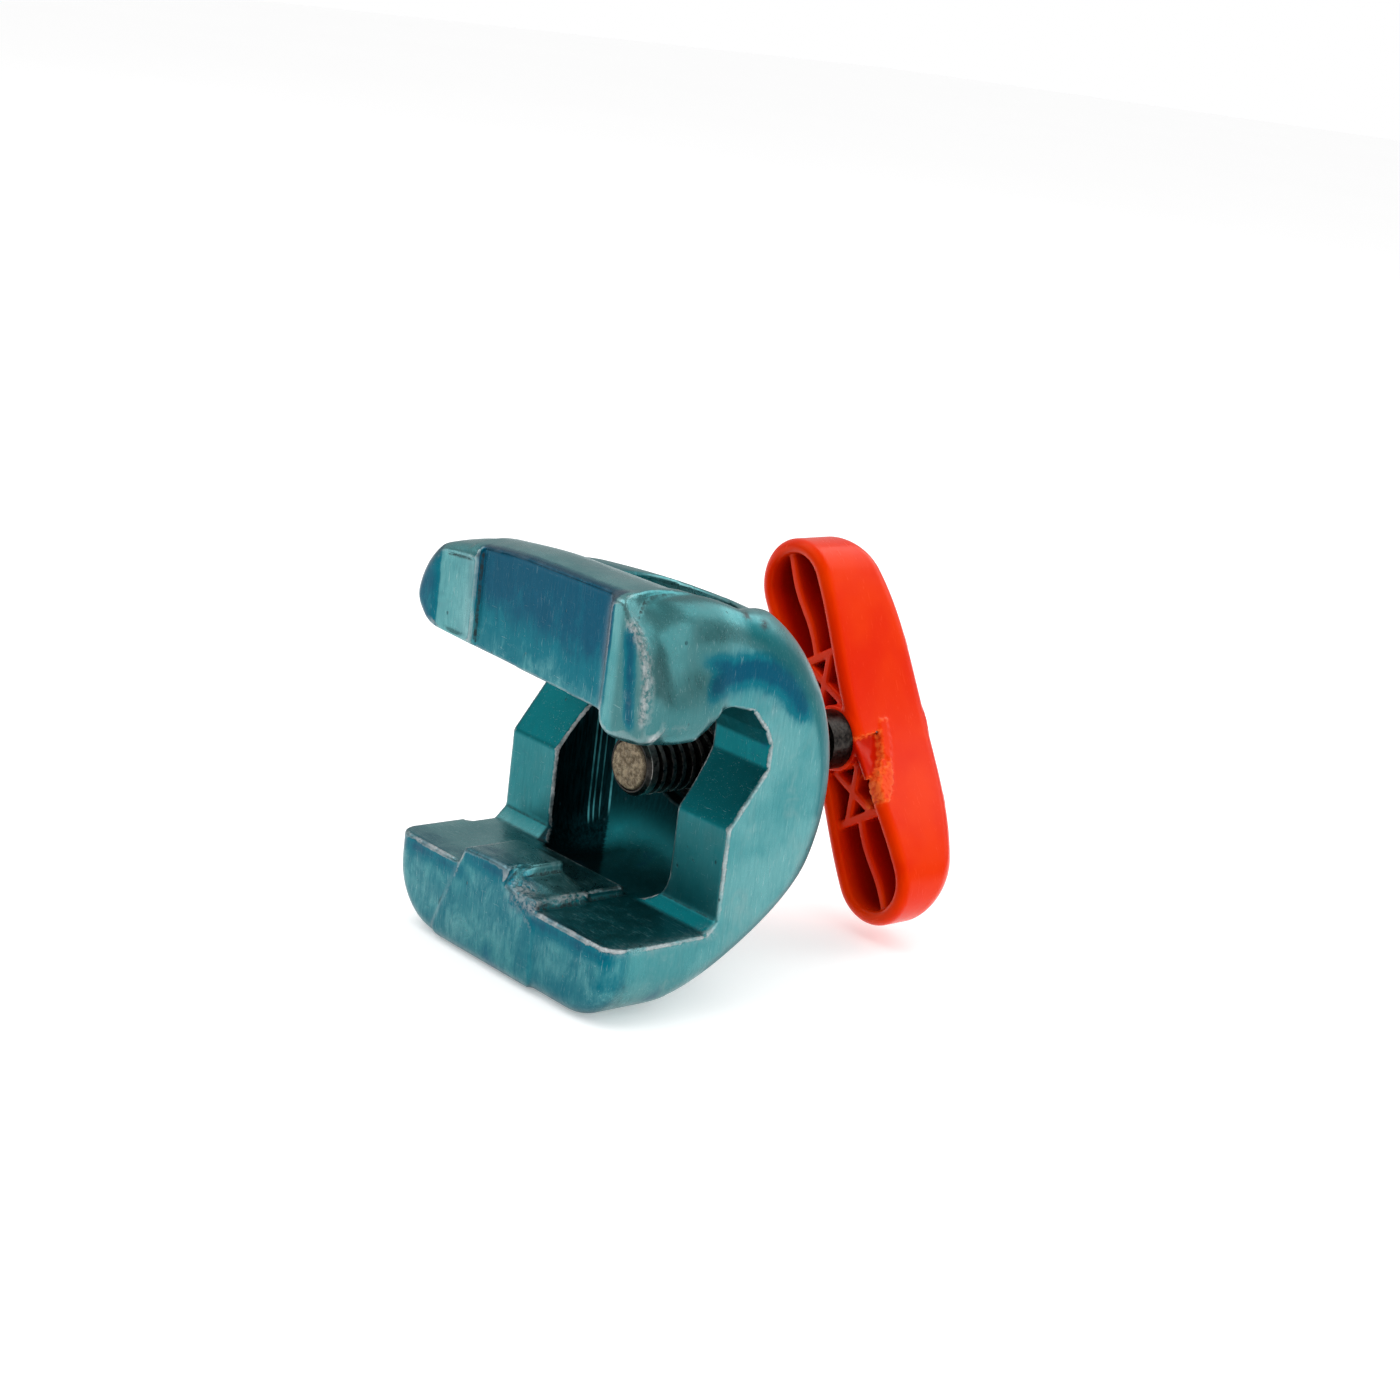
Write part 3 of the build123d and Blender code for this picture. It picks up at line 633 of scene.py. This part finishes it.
def handle():
    """Mesh of the handle, with the values that its finish follows."""
    points, quads = surface_net(handle_field, handle_low, handle_high, HANDLE_GRID)
    along, across, depth = to_handle(*points.T)
    flat = outline(along, across)
    plate, broken, flap, lip = tear_fields(along, depth)
    near_wall = smooth_step(across, TORN_FROM, TORN_FROM + 0.6)
    frayed = 0.75 + 0.25 * np.sin(3.0 * along + 6.0 * depth)
    edges = np.exp(-np.abs(plate) / 0.16) + 0.8 * np.exp(-np.abs(broken) / 0.2)
    edges = edges + 0.7 * np.exp(-np.abs(flap) / 0.2) + 0.35 * frayed * (flap < 0)
    edges = edges + 0.8 * np.exp(-np.abs(lip) / 0.15) * smooth_step(along, 0.2, 0.8)
    attributes = {
        "bend": bend(handle_field, points, 0.4),
        "scuff": np.clip(edges, 0, 1) * near_wall,
        # Painted shade: how deep inside the hollow a point lies.
        "deep": smooth_step(depth, 0.6, 4.0) * smooth_step(-flat, 1.2, 2.4),
        "raw": near_wall * smooth_step(-plate, 0.0, 0.3) * smooth_step(-flat, 0.7, 1.0),
    }
    return mesh_piece("grip", points, quads, "screw", "handle", attributes)


# ------------------------------------------------------------------ pressure foot
def foot_field(x, y, z):
    """The rough-faced button on the screw's tip and its stem."""
    radius = np.hypot(x, z)
    turn = np.arctan2(z, x)
    rough = 0.05 * np.sin(2.1 * x + 1.3 * z) * np.sin(3.3 * z - 0.7 * x + 2.0)
    rough = rough + 0.035 * np.sin(5.3 * x - 2.2 * z + 1.0) * np.sin(4.7 * z + 2.9 * x)
    face = BUTTON_FACE + rough + 0.05 * np.sin(3 * turn) * radius / 4
    edge = 0.07 * np.sin(5 * turn + 0.6) + 0.04 * np.sin(11 * turn)
    disc = common_round(radius - BUTTON_RADIUS - edge * 0.5, face - y, 0.5)
    disc = np.maximum(disc, y - BUTTON_BACK)
    stem = np.maximum(radius - STEM_RADIUS, np.maximum(STEM_START - y, y - STEM_END))
    return np.minimum(disc, stem)


def foot():
    """Mesh of the pressure foot."""
    points, quads = surface_net(foot_field, foot_low, foot_high, FOOT_GRID)
    attributes = {"bend": bend(foot_field, points, 0.25)}
    return mesh_piece("foot", points, quads, "feed", "pressure_foot", attributes)


# ------------------------------------------------------------------ finishes
class Finish:
    """A node material under construction."""

    def __init__(self, name):
        self.material = bpy.data.materials.new(name)
        self.material.use_nodes = True
        self.tree = self.material.node_tree
        self.shader = self.tree.nodes["Principled BSDF"]
        self.place = self.tree.nodes.new("ShaderNodeTexCoord").outputs["Object"]

    def node(self, kind, inputs, **settings):
        """A node with its settings made and its inputs set to numbers or wired to sockets."""
        node = self.tree.nodes.new(kind)
        for key, value in settings.items():
            setattr(node, key, value)
        for key, value in inputs.items():
            if isinstance(value, bpy.types.NodeSocket):
                self.tree.links.new(value, node.inputs[key])
            else:
                node.inputs[key].default_value = value
        return node

    def stretched(self, factors):
        """Object coordinates in millimetres, scaled along each axis."""
        scale = [factor / MM for factor in factors]
        return self.node("ShaderNodeMapping", {"Vector": self.place, "Scale": scale}).outputs[0]

    def noise(self, factors, detail=4.0, rough=0.6, twist=0.0):
        """Noise from 0 to 1 with about the given number of features in a millimetre."""
        inputs = {
            "Vector": self.stretched(factors),
            "Scale": 1.0,
            "Detail": detail,
            "Roughness": rough,
            "Distortion": twist,
        }
        return self.node("ShaderNodeTexNoise", inputs).outputs["Fac"]

    def specks(self, factors, size, share):
        """1 in small round spots: a share of the cells of a grid has one."""
        spots = self.node("ShaderNodeTexVoronoi", {"Vector": self.stretched(factors), "Scale": 1.0})
        picked = self.step(self.axis(spots.outputs["Color"], 0), 1 - share, 1 - share + 0.02)
        return self.times(picked, self.step(spots.outputs["Distance"], size, size * 0.5))

    def attribute(self, name):
        """A value stored on the mesh's points."""
        return self.node("ShaderNodeAttribute", {}, attribute_name=name).outputs["Fac"]

    def axis(self, vector, index):
        """One component of a vector or colour."""
        return self.node("ShaderNodeSeparateXYZ", {0: vector}).outputs[index]

    def math(self, operation, a, b=0.0):
        """The result of a math node on one or two values."""
        return self.node("ShaderNodeMath", {0: a, 1: b}, operation=operation).outputs[0]

    def times(self, a, b):
        return self.math("MULTIPLY", a, b)

    def plus(self, a, b):
        return self.math("ADD", a, b)

    def step(self, value, low, high, start=0.0, end=1.0):
        """start below low, end above high, smooth between; low may be the larger."""
        inputs = {"Value": value, "From Min": low, "From Max": high, "To Min": start, "To Max": end}
        return self.node("ShaderNodeMapRange", inputs, interpolation_type="SMOOTHSTEP").outputs[0]

    def near(self, value, place, reach):
        """1 where value is at place, 0 from reach away."""
        return self.step(self.math("ABSOLUTE", self.plus(value, -place)), reach, reach * 0.3)

    def blend(self, share, a, b):
        """Colour a where share is 0 and colour b where it is 1."""
        mix = self.node("ShaderNodeMix", {0: share}, data_type="RGBA")
        for socket, colour in ((mix.inputs[6], a), (mix.inputs[7], b)):
            if isinstance(colour, bpy.types.NodeSocket):
                self.tree.links.new(colour, socket)
            else:
                socket.default_value = (*colour, 1)
        return mix.outputs[2]

    def bump(self, height, distance, below=None):
        """A normal from a height field of the given depth in millimetres."""
        inputs = {"Height": height, "Distance": distance * MM, "Strength": 1.0}
        if below:
            inputs["Normal"] = below
        return self.node("ShaderNodeBump", inputs).outputs[0]

    def finish(self, **inputs):
        """The material, with the shader's inputs set or wired."""
        for key, value in inputs.items():
            socket = self.shader.inputs[key.replace("_", " ")]
            if isinstance(value, bpy.types.NodeSocket):
                self.tree.links.new(value, socket)
            else:
                socket.default_value = value
        return self.material


def tinted_casting():
    """Metallic teal tint over cast metal: blue where it pooled, bare and bright along worn edges,
    painted shade in the mouth, channel and tooth, painted highlight lines in the channel.
    """
    teal, light_teal = (0.060, 0.235, 0.250), (0.110, 0.300, 0.310)
    grey_teal, streak_teal = (0.18, 0.32, 0.32), (0.010, 0.15, 0.18)
    deep_teal, pooled_blue = (0.003, 0.115, 0.155), (0.001, 0.062, 0.110)
    shaded_teal, tooth_shade_grey = (0.001, 0.132, 0.150), (0.032, 0.122, 0.128)
    channel_shade_black, channel_shade_teal = (0.001, 0.008, 0.010), (0.003, 0.030, 0.036)
    stain_blue, residue_red = (0.004, 0.09, 0.16), (0.022, 0.008, 0.010)
    dull_metal, bright_metal = (0.13, 0.15, 0.155), (0.80, 0.80, 0.80)
    scratch_pale, highlight_pale = (0.38, 0.55, 0.56), (0.10, 0.42, 0.46)
    corner_grey, pit_dark = (0.03, 0.035, 0.035), (0.02, 0.06, 0.07)
    f = Finish("tinted_casting")
    broad = f.noise((0.07, 0.07, 0.07), 3.0)
    cloud = f.noise((0.25, 0.25, 0.16), 5.0, 0.65, 0.6)
    brushed = f.noise((2.6, 2.6, 0.28), 5.0, 0.7)
    dye = f.attribute("dye")
    shade = f.attribute("shade")
    sharp = f.attribute("bend")

    # The tint, from thin to pooled, and painted shade in the mouth, on the tooth and in the channel.
    tint = f.blend(f.step(broad, 0.38, 0.62), teal, light_teal)
    tint = f.blend(f.step(cloud, 0.50, 0.72, 0.0, 0.5), tint, grey_teal)
    tint = f.blend(f.step(brushed, 0.42, 0.75, 0.0, 0.28), tint, streak_teal)
    uneven = f.plus(f.times(f.plus(cloud, -0.5), 0.9), f.times(f.plus(brushed, -0.5), 0.25))
    thick = f.plus(dye, f.times(uneven, f.step(dye, 0.0, 0.3, 0.3, 1.0)))
    tint = f.blend(f.step(thick, 0.0, 0.5), tint, deep_teal)
    tint = f.blend(f.step(thick, 0.5, 1.0), tint, pooled_blue)
    # Painted shade: the tint is darkened inside the mouth.
    tint = f.blend(f.step(shade, 0.0, 0.7), tint, shaded_teal)
    # Painted shade: the tooth and the bowl behind it turn a darker grey where the dye is thin.
    tooth_shade = f.times(f.attribute("tooth_shade"), f.step(thick, 0.6, 0.1, 0.1, 0.75))
    tint = f.blend(tooth_shade, tint, tooth_shade_grey)
    # Painted shade: the channel is painted near black, fading down to its foot.
    channel_shade = f.attribute("channel_shade")
    dark = f.blend(f.step(brushed, 0.35, 0.7), channel_shade_black, channel_shade_teal)
    tint = f.blend(f.step(channel_shade, 0.1, 0.95), tint, dark)
    stain = f.times(f.specks((0.16, 0.16, 0.12), 0.42, 0.2), f.step(cloud, 0.5, 0.62))
    tint = f.blend(f.times(stain, 0.5), tint, stain_blue)

    # Metal bared along rubbed edges and where blows fell.
    grain = f.noise((1.3, 1.3, 1.3), 6.0, 0.7)
    edge = f.step(f.plus(sharp, f.times(grain, 1.1)), 1.08, 1.42)
    gate = f.step(f.noise((0.16, 0.16, 0.16), 4.0), 0.40, 0.62, 0.15, 0.95)
    worn = f.times(f.times(edge, f.attribute("rub")), gate)
    bare = f.blend(f.noise((1.6, 1.6, 1.6), 4.0), dull_metal, bright_metal)
    struck = f.times(f.attribute("bared"), f.step(grain, 0.38, 0.58))
    worn = f.math("MAXIMUM", worn, struck)
    tint = f.blend(f.times(worn, 0.85), tint, bare)

    # Scratches, painted highlight lines in the channel, residue, darkening in inner corners and pits.
    scratch = f.step(f.noise((5.5, 5.5, 0.42), 2.0, 0.5, 0.3), 0.665, 0.70)
    cross = f.step(f.noise((0.5, 6.0, 4.5), 2.0, 0.5, 1.5), 0.70, 0.72)
    scratch = f.times(f.math("MAXIMUM", scratch, cross), f.step(broad, 0.35, 0.6, 0.2, 0.8))
    slid = f.step(f.noise((0.45, 5.0, 0.45), 2.0, 0.5, 1.0), 0.60, 0.66)
    worked = f.times(slid, f.attribute("floor"))
    scratch = f.math("MAXIMUM", scratch, f.times(worked, f.step(cloud, 0.42, 0.55)))
    scratch = f.times(scratch, f.times(f.step(channel_shade, 0.5, 0.1), f.step(thick, 0.9, 0.4, 0.4, 1.0)))
    tint = f.blend(f.times(scratch, 0.36), tint, scratch_pale)
    millimetres = f.stretched((1, 1, 1))
    deep = f.plus(f.axis(millimetres, 1), -CHANNEL_Y)
    turn = f.times(f.math("ARCTAN2", deep, f.times(f.axis(millimetres, 0), -1)), degrees(1))
    highlight_lines = 0.0
    for place, reach, strength in HIGHLIGHT_LINES:
        highlight_lines = f.math("MAXIMUM", highlight_lines, f.times(f.near(turn, place, reach), strength))
    faint = f.step(f.noise((0.1, 0.1, 0.15)), 0.35, 0.55, 0.3, 1.0)
    highlight_lines = f.times(highlight_lines, f.times(f.attribute("lines"), faint))
    # Painted highlight: pale lines up the channel's left side.
    tint = f.blend(highlight_lines, tint, highlight_pale)
    residue = f.times(f.attribute("residue"), f.step(grain, 0.40, 0.52))
    tint = f.blend(f.times(residue, 0.9), tint, residue_red)
    # Darker and rougher in inner corners.
    corner_dark = f.times(f.step(sharp, -0.25, -0.9), f.step(grain, 0.35, 0.6, 0.25, 0.85))
    tint = f.blend(corner_dark, tint, corner_grey)
    pits = f.times(f.specks((0.6, 0.6, 0.42), 0.17, 0.10), f.step(cloud, 0.42, 0.5))
    tint = f.blend(f.times(pits, 0.7), tint, pit_dark)

    # Gloss and relief.
    rough = f.step(f.plus(f.times(brushed, 0.5), f.times(cloud, 0.5)), 0.3, 0.7, 0.22, 0.40)
    rough = f.plus(rough, f.step(shade, 0.1, 0.6, 0.0, 0.12))
    rough = f.plus(rough, f.plus(f.times(worn, 0.12), f.times(corner_dark, 0.4)))
    normal = f.bump(f.noise((0.9, 0.9, 0.35), 4.0, 0.6), 0.035)
    normal = f.bump(brushed, 0.012, normal)
    normal = f.bump(f.times(grain, worn), 0.22, normal)
    normal = f.bump(f.plus(f.times(scratch, -0.6), f.times(pits, -1.5)), 0.03, normal)
    return f.finish(Base_Color=tint, Metallic=1.0, Roughness=rough, Normal=normal)


def orange_plastic():
    """Glossy orange moulding, scuffed pale where it is torn, with painted shade deep in its hollow."""
    red_orange, bright_orange = (0.64, 0.014, 0.0), (0.70, 0.028, 0.0)
    hollow_shade_red, torn_red = (0.42, 0.001, 0.0), (0.42, 0.002, 0.0)
    scuff_pale, dirt_dark = (0.92, 0.16, 0.03), (0.10, 0.006, 0.004)
    f = Finish("orange_plastic")
    flow = f.noise((0.06, 0.06, 0.06), 3.0, 0.5, 0.5)
    fine = f.noise((1.8, 1.8, 1.8), 4.0)
    colour = f.blend(f.step(flow, 0.35, 0.65), red_orange, bright_orange)
    # Painted shade: darker red deep inside the hollow.
    colour = f.blend(f.times(f.attribute("deep"), 0.75), colour, hollow_shade_red)
    colour = f.blend(f.times(f.attribute("raw"), 0.85), colour, torn_red)
    torn = f.times(f.attribute("scuff"), f.step(f.noise((1.1, 1.1, 1.1), 3.0), 0.35, 0.55, 0.25, 1.0))
    colour = f.blend(f.times(torn, 0.8), colour, scuff_pale)
    dirt = f.specks((0.14, 0.14, 0.14), 0.045, 0.35)
    colour = f.blend(f.times(dirt, 0.85), colour, dirt_dark)
    rub = f.step(f.noise((0.5, 3.5, 0.5), 3.0, 0.5, 0.8), 0.62, 0.72)
    rough = f.plus(f.step(fine, 0.3, 0.7, 0.20, 0.27), f.plus(f.times(rub, 0.10), f.times(torn, 0.25)))
    normal = f.bump(f.noise((0.22, 0.22, 0.22), 3.0), 0.05)
    normal = f.bump(fine, 0.006, normal)
    gloss = {"Specular_IOR_Level": 0.35, "Specular_Tint": (1.0, 0.16, 0.02, 1.0)}
    return f.finish(Base_Color=colour, Roughness=rough, Normal=normal, **gloss)


def from_axis(f):
    """Distance from the screw axis, in millimetres."""
    millimetres = f.stretched((1, 1, 1))
    side, up = f.axis(millimetres, 0), f.axis(millimetres, 2)
    return f.math("SQRT", f.plus(f.times(side, side), f.times(up, up)))


def dark_steel():
    """Oiled black oxide, lighter along the thread's crests: partly rubbed wear, partly a painted
    highlight.
    """
    black, charcoal = (0.018, 0.017, 0.016), (0.055, 0.05, 0.045)
    rust_brown, rubbed_steel_and_highlight = (0.07, 0.045, 0.03), (0.48, 0.47, 0.44)
    f = Finish("dark_steel")
    grain = f.noise((1.5, 1.5, 1.5), 5.0, 0.65)
    radius = from_axis(f)
    crest_wear_and_highlight = f.step(f.plus(radius, f.times(grain, 0.25)), 5.02, 5.14)
    crest_wear_and_highlight = f.times(crest_wear_and_highlight, f.step(f.axis(f.stretched((1, 1, 1)), 1), 38.5, 37.5))
    crest_wear_and_highlight = f.times(crest_wear_and_highlight, f.step(radius, 5.7, 5.4))
    colour = f.blend(f.step(grain, 0.35, 0.7), black, charcoal)
    rust = f.step(f.noise((0.6, 0.6, 0.6), 5.0, 0.7), 0.58, 0.70, 0.0, 0.5)
    colour = f.blend(rust, colour, rust_brown)
    # Rubbed wear and painted highlight: lighter thread crests.
    colour = f.blend(f.times(crest_wear_and_highlight, 0.8), colour, rubbed_steel_and_highlight)
    rough = f.plus(f.step(grain, 0.3, 0.7, 0.26, 0.44), f.times(rust, 0.4))
    normal = f.bump(grain, 0.02)
    return f.finish(Base_Color=colour, Metallic=1.0, Roughness=rough, Normal=normal)


def bronze():
    """Dull, pitted tan metal with dark marks."""
    brown, tan = (0.115, 0.080, 0.045), (0.40, 0.31, 0.20)
    mark_dark, edge_dark = (0.05, 0.035, 0.022), (0.03, 0.024, 0.018)
    f = Finish("bronze")
    grain = f.noise((1.1, 1.1, 1.1), 6.0, 0.7)
    fine = f.noise((4.5, 4.5, 4.5), 4.0, 0.7)
    colour = f.blend(f.step(grain, 0.35, 0.65), brown, tan)
    colour = f.blend(f.step(fine, 0.52, 0.62, 0.0, 0.75), colour, mark_dark)
    edge = f.step(from_axis(f), 3.55, 3.95)
    colour = f.blend(f.times(edge, f.step(fine, 0.3, 0.6, 0.9, 0.35)), colour, edge_dark)
    rough = f.step(grain, 0.3, 0.7, 0.62, 0.42)
    normal = f.bump(f.plus(grain, f.times(fine, 0.6)), 0.14)
    return f.finish(Base_Color=colour, Metallic=0.55, Roughness=rough, Normal=normal)


def spring_steel():
    """Bright drawn wire and rolled pin, lightly spotted."""
    steel_grey, steel_bright, spot_brown = (0.34, 0.34, 0.35), (0.58, 0.58, 0.58), (0.10, 0.07, 0.05)
    f = Finish("spring_steel")
    drawn = f.noise((6.0, 1.2, 6.0), 4.0)
    spots = f.specks((1.4, 1.4, 1.4), 0.25, 0.3)
    colour = f.blend(f.step(drawn, 0.3, 0.7), steel_grey, steel_bright)
    colour = f.blend(f.times(spots, 0.7), colour, spot_brown)
    rough = f.step(drawn, 0.3, 0.7, 0.22, 0.36)
    return f.finish(Base_Color=colour, Metallic=1.0, Roughness=rough, Normal=f.bump(drawn, 0.01))


def paint(piece, material):
    """Gives a piece, or a CAD node that stays shown, its one material."""
    piece.data.materials.clear()
    piece.data.materials.append(material)


steel = dark_steel()
wire = spring_steel()
paint(casting(), tinted_casting())
paint(handle(), orange_plastic())
paint(foot(), bronze())
paint(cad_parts["spindle"], steel)
paint(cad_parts["threaded_bush"], steel)
paint(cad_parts["foot_snap_ring"], wire)
paint(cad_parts["handle_pin"], wire)


# ------------------------------------------------------------------ camera, light and floor
SENSOR_WIDTH, FOCAL_LENGTH = 36.0, 66.86
FLOOR_HALF = 6.0


def camera():
    """The camera, turned, raised and rolled to the angle the object is known from."""
    azimuth, elevation, roll = radians(47.5), radians(15.0), radians(7.05)
    place = (0.29393, -0.25567, 0.11623)
    back = Vector(
        (sin(azimuth) * cos(elevation), -cos(azimuth) * cos(elevation), sin(elevation))
    )
    level = Vector((cos(azimuth), sin(azimuth), 0))
    upright = back.cross(level)
    right = level * cos(roll) + upright * sin(roll)
    up = upright * cos(roll) - level * sin(roll)
    data = bpy.data.cameras.new("camera")
    data.sensor_width = SENSOR_WIDTH
    data.lens = FOCAL_LENGTH
    data.clip_start = 0.01
    view = bpy.data.objects.new("camera", data)
    turn = Matrix((right, up, back)).transposed().to_4x4()
    view.matrix_world = Matrix.Translation(place) @ turn
    bpy.context.scene.collection.objects.link(view)
    bpy.context.scene.camera = view


def floor():
    """A wide pale floor under the object."""
    mesh = bpy.data.meshes.new("floor")
    ground = cad_box[0][2]
    sides = ((-1, -1), (1, -1), (1, 1), (-1, 1))
    corners = [(x * FLOOR_HALF, y * FLOOR_HALF, ground) for x, y in sides]
    mesh.from_pydata(corners, [], [(0, 1, 2, 3)])
    f = Finish("floor")
    pale = f.blend(f.noise((0.002, 0.002, 0.002)), (0.90, 0.90, 0.90), (0.93, 0.93, 0.93))
    glow = {"Emission_Color": (1, 1, 1, 1), "Emission_Strength": 0.3}
    mesh.materials.append(f.finish(Base_Color=pale, Roughness=0.8, Specular_IOR_Level=0.1, **glow))
    piece = bpy.data.objects.new("floor", mesh)
    bpy.context.scene.collection.objects.link(piece)


def panel(name, place, size, power):
    """A soft square light at a place in metres, aimed at the object."""
    data = bpy.data.lights.new(name, "AREA")
    data.size = size
    data.energy = power
    light = bpy.data.objects.new(name, data)
    light.location = place
    light.rotation_euler = Vector(place).to_track_quat("Z", "Y").to_euler()
    bpy.context.scene.collection.objects.link(light)


def studio():
    """White surroundings, dimmer towards the front, with soft panels above and to the sides."""
    world = bpy.data.worlds.new("studio")
    world.use_nodes = True
    nodes, links = world.node_tree.nodes, world.node_tree.links
    background = nodes["Background"]
    split = nodes.new("ShaderNodeSeparateXYZ")
    links.new(nodes.new("ShaderNodeTexCoord").outputs["Generated"], split.inputs[0])
    height = nodes.new("ShaderNodeMapRange")
    links.new(split.outputs["Z"], height.inputs["Value"])
    for key, value in (("From Min", -0.1), ("From Max", 0.9), ("To Min", 0.40), ("To Max", 0.85)):
        height.inputs[key].default_value = value
    seen = nodes.new("ShaderNodeLightPath").outputs["Is Camera Ray"]
    level = nodes.new("ShaderNodeMath")
    level.operation = "MAXIMUM"
    links.new(height.outputs[0], level.inputs[0])
    links.new(seen, level.inputs[1])
    links.new(level.outputs[0], background.inputs["Strength"])
    background.inputs["Color"].default_value = (1, 1, 1, 1)
    bpy.context.scene.world = world
    panel("key", (-0.35, -0.6, 0.95), 1.1, 6.0)
    panel("side", (1.0, 0.1, 0.45), 1.0, 4.5)
    panel("rear", (0.1, 0.9, 0.8), 1.0, 5.0)
    bpy.context.scene.view_settings.view_transform = "Standard"


camera()
floor()
studio()
